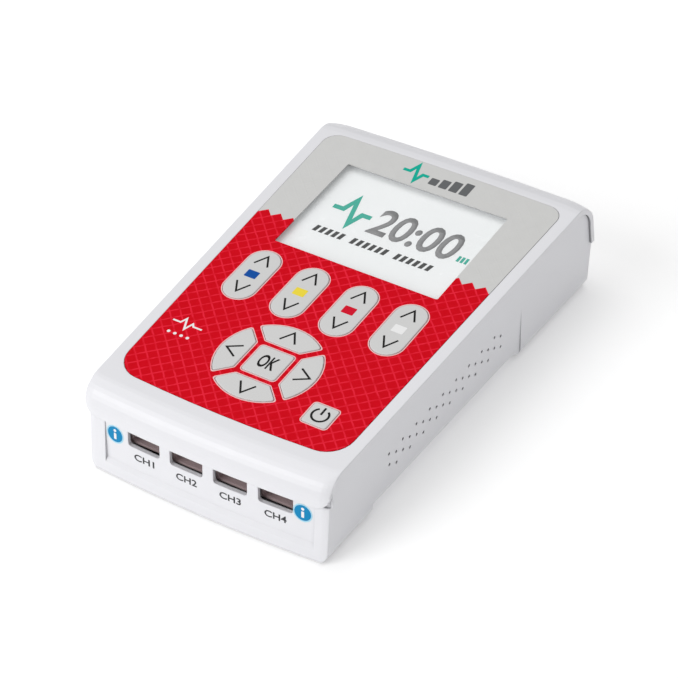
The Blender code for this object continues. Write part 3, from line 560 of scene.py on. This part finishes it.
KEYS = []
for i in range(4):
    KEYS.append((f"rocker_key_{i + 1}", rocker_outline, (i - 1.5) * ROCKER_PITCH, ROCKER_Y))
ARROW_KEYS = ["key_up", "key_right", "key_down", "key_left"]
for k, name in enumerate(ARROW_KEYS):
    angle = -k * math.pi / 2
    KEYS.append((name, lambda grow, a=angle: turned(arrow_outline(grow), a), 0.0, PAD_Y))
KEYS.append(("key_ok", lambda grow: square_outline(ENTER_HALF, grow), 0.0, PAD_Y))
KEYS.append(("key_power", lambda grow: square_outline(POWER_HALF, grow), *POWER_PLACE))

bm = bmesh.new()
for _, outline, x, y in KEYS:
    inner = moved(outline(RIM_GAP), x, y)
    outer = moved(outline(RIM_REACH), x, y)
    band(bm, inner, outer, RIM_FOOT, OVERLAY_TOP + PRINT)
piece("key_borders", bm, PALE_EDGE, HOUSING, DECK)

BARS = [BLUE_INK, YELLOW_INK, RED_INK, WHITE_INK]
wide, high = COLOUR_BAR_HALF
for i, ink in enumerate(BARS):
    x = (i - 1.5) * ROCKER_PITCH
    up = moved(stroke(ROCKER_CHEVRON, SIGN_STROKE), x, ROCKER_Y + ROCKER_UP_Y)
    downward = [(px, -py) for px, py in ROCKER_CHEVRON]
    down = moved(stroke(downward, SIGN_STROKE), x, ROCKER_Y - ROCKER_DOWN_Y)
    key = f"rocker_key_{i + 1}"
    mark(key + "_arrows", [up, down], BLACK_INK, key, low=KEY_TOP)
    bar = moved(rectangle(-wide, wide, -high, high, 0.25), x, ROCKER_Y)
    mark(key + "_colour_bar", [bar], ink, key, low=KEY_TOP)

for k, name in enumerate(ARROW_KEYS):
    wings = stroke(PAD_CHEVRON, SIGN_STROKE)
    outline = moved(turned(wings, -k * math.pi / 2), 0.0, PAD_Y)
    mark(name + "_arrow", [outline], BLACK_INK, name, low=KEY_TOP)

place = on_deck(0.0, PAD_Y, KEY_TOP)
lettering("key_ok_letters", "OK", OK_SIZE, BLACK_INK, "key_ok", "black_plastic", place, 0.02)

turns = [k / POWER_RING_STEPS for k in range(POWER_RING_STEPS + 1)]
loop = [math.radians(POWER_RING_START + POWER_RING_SWEEP * turn) for turn in turns]
loop = [(POWER_RING * math.cos(a), POWER_RING * math.sin(a)) for a in loop]
marks = [moved(stroke(loop, POWER_STROKE), *POWER_PLACE)]
marks.append(moved(stroke([(0.0, 0.2), (0.0, 2.9)], POWER_STROKE), *POWER_PLACE))
mark("key_power_symbol", marks, BLACK_INK, "key_power", low=KEY_TOP)

# A teal pulse and rising grey bars above the display.
teal = stroke([(1.15 * x - 10.9, 1.1 * y) for x, y in PULSE], 1.15)
teal = [moved(teal, 0.0, DECK_SIGN_Y)]
mark("deck_pulse", teal, TEAL_INK, HOUSING, low=OVERLAY_TOP)
grey = [rectangle(-1.6 + 3.3 * k, 1.0 + 3.3 * k, -2.7, 0.2 + 0.85 * k, 0.3) for k in range(4)]
grey = [moved(row, 0.0, DECK_SIGN_Y) for row in grey]
mark("deck_bars", grey, GREY_INK, HOUSING, low=OVERLAY_TOP)

# A white pulse and a row of dots low on the left.
white = [moved(stroke(SMALL_PULSE, SIGN_STROKE), *CHANNEL_SIGN_PLACE)]
white += [circle(0.5, -30.0 + 2.0 * k, CHANNEL_DOT_Y, 14) for k in range(4)]
mark("deck_channel_mark", white, WHITE_INK, HOUSING, low=OVERLAY_TOP)


# Picture on the display ---------------------------------------------------------------


def on_screen(name, outlines, finish):
    """A mark on the display, with its outlines measured from the middle of the window."""
    outlines = [moved(outline, 0.0, WINDOW_Y) for outline in outlines]
    name = "screen_" + name
    mark(name, outlines, finish, HOUSING, low=LCD_TOP, thick=SCREEN_PRINT)


wave = stroke([(-21.0 + 1.7 * x, 3.4 + 1.75 * y) for x, y in PULSE], 1.7)
on_screen("wave", [wave], TEAL_INK)
place = on_deck(READOUT_PLACE[0], WINDOW_Y + READOUT_PLACE[1], LCD_TOP)
look = (SCREEN_GREY, HOUSING, "screen_glass")
lettering("screen_timer", "20:00", READOUT_SIZE, *look, place, 0.02, READOUT_SLANT, SCREEN_PRINT)
gauge = [rectangle(20.9 + 1.2 * k, 21.7 + 1.2 * k, -1.2, 1.2) for k in range(3)]
on_screen("battery_gauge", gauge, TEAL_INK)

# Ticks in three groups: every seventh place is left empty.
ticks = [moved(TICK, -20.0 + 2.0 * k, TICK_Y) for k in range(20) if k % 7 != 5]
on_screen("ticks", ticks, BLACK_INK)


# Connector panel --------------------------------------------------------------------


def on_front(x, z):
    """A place on the leaning, bowed panel, facing out."""
    wall_y = PANEL_FOOT_Y + PANEL_LEAN * (z - PANEL_FOOT_Z) + PANEL_BOW * x * x
    tilt = Matrix.Rotation(math.pi / 2 - math.atan(PANEL_LEAN), 4, "X")
    swing = Matrix.Rotation(2 * PANEL_BOW * x, 4, "Z")
    return Matrix.Translation(Vector((x, wall_y, z)) * MM) @ swing @ tilt


look = (LABEL_INK, HOUSING, "white_shell")
for i in range(4):
    place = on_front(SOCKET_MIDDLE_X + (i - 1.5) * SOCKET_PITCH, LABEL_Z)
    name = f"channel_label_{i + 1}"
    lettering(name, f"CH{i + 1}", LABEL_SIZE, *look, place, 0.012, thick=PANEL_PRINT)

for k, (x, z) in enumerate(DISC_PLACES):
    place = on_front(x, z)
    mark(f"info_disc_{k + 1}", [circle(DISC_RADIUS)], DISC_BLUE, HOUSING, place)
    bm = bmesh.new()
    band(bm, circle(DISC_RIM_RADII[0]), circle(DISC_RIM_RADII[1]), 0.0, PRINT)
    piece(f"info_rim_{k + 1}", bm, DISC_RIM, HOUSING, place)
    glyph = [circle(0.45, 0.0, 1.25, 16), rectangle(-0.4, 0.4, -1.5, 0.45, 0.2)]
    mark(f"info_glyph_{k + 1}", glyph, WHITE_INK, HOUSING, place, PRINT)


# Floor, light and camera --------------------------------------------------------------

graph = Graph("floor_pale", Emission_Strength=FLOOR_GLOW)
tone = graph.mixed(graph.noise(60.0, 3.0), (0.93, 0.93, 0.93), (0.95, 0.95, 0.95))
graph.link(tone, "Base Color")
graph.link(tone, "Emission Color")
graph.gloss(15.0, 2.0, 0.75, 0.85)
bm = bmesh.new()
bmesh.ops.create_grid(bm, x_segments=4, y_segments=4, size=FLOOR_HALF)
mesh = bpy.data.meshes.new("floor")
bm.to_mesh(mesh)
bm.free()
floor = bpy.data.objects.new("floor", mesh)
floor.location.z = cad_box[0][2] - FLOOR_DROP
bpy.context.scene.collection.objects.link(floor)
mesh.materials.append(graph.material)

world = bpy.data.worlds.new("studio")
world.use_nodes = True
background = world.node_tree.nodes["Background"]
background.inputs["Color"].default_value = (1.0, 1.0, 1.0, 1.0)
background.inputs["Strength"].default_value = WORLD_STRENGTH
bpy.context.scene.world = world


def softbox(name, place, size, power):
    """A square light aimed at the unit, placed and sized in metres."""
    light = bpy.data.lights.new(name, "AREA")
    light.shape = "SQUARE"
    light.size = size
    light.energy = power
    lamp = bpy.data.objects.new(name, light)
    lamp.location = place
    aim = Vector(AIM) - Vector(place)
    lamp.rotation_euler = aim.to_track_quat("-Z", "Y").to_euler()
    bpy.context.scene.collection.objects.link(lamp)


softbox("top_softbox", (-0.25, 0.25, 1.5), 1.6, 12.0)
softbox("front_softbox", (-0.85, -1.4, 1.0), 1.2, 18.0)

camera = bpy.data.cameras.new("camera")
camera.lens = CAMERA_LENS
camera.sensor_width = 36.0
camera.clip_start = 0.01
viewer = bpy.data.objects.new("camera", camera)
axes = Matrix((CAMERA_RIGHT, CAMERA_UP, CAMERA_BACK)).transposed().to_4x4()
viewer.matrix_world = Matrix.Translation(CAMERA_PLACE) @ axes
bpy.context.scene.collection.objects.link(viewer)
bpy.context.scene.camera = viewer
bpy.context.scene.view_settings.view_transform = "Standard"
